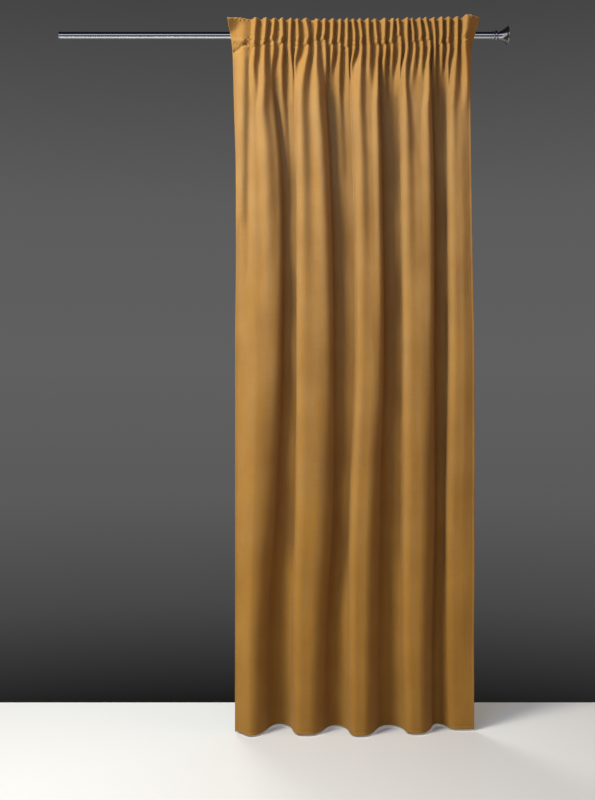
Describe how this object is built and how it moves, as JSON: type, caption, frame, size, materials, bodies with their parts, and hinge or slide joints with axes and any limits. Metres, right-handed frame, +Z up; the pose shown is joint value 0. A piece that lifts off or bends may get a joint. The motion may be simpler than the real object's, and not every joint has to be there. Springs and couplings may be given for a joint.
{
  "type": "blackout curtain on a curtain pole",
  "caption": "Full-length blackout curtain with a pencil-pleat heading and soft hanging folds, on a chrome curtain pole with a flared finial.",
  "frame": {"origin": "on the curtain pole's axis, above the middle of the curtain, where a wall bracket holds the pole", "axes": "+Z up, +X along the pole towards the finial, +Y towards the wall; the curtain's front faces -Y"},
  "size_m": [1.7069, 0.1336, 2.695],
  "materials": {
    "ochre_cloth": "short velvet pile, matt",
    "white_tape": "woven tape",
    "chrome": "polished"
  },
  "bodies": {
    "root": {"curtain_cloth": "ochre_cloth", "heading_tape": "white_tape", "tape_loop_1": "white_tape", "tape_loop_2": "white_tape", "tape_loop_3": "white_tape", "tape_loop_4": "white_tape", "tape_loop_5": "white_tape", "tape_loop_6": "white_tape", "tape_loop_7": "white_tape", "tape_loop_8": "white_tape", "tape_loop_9": "white_tape", "pole_tube": "chrome", "pole_end_cap": "chrome", "finial_neck": "chrome", "finial_trumpet": "chrome"}
  },
  "joints": []
}
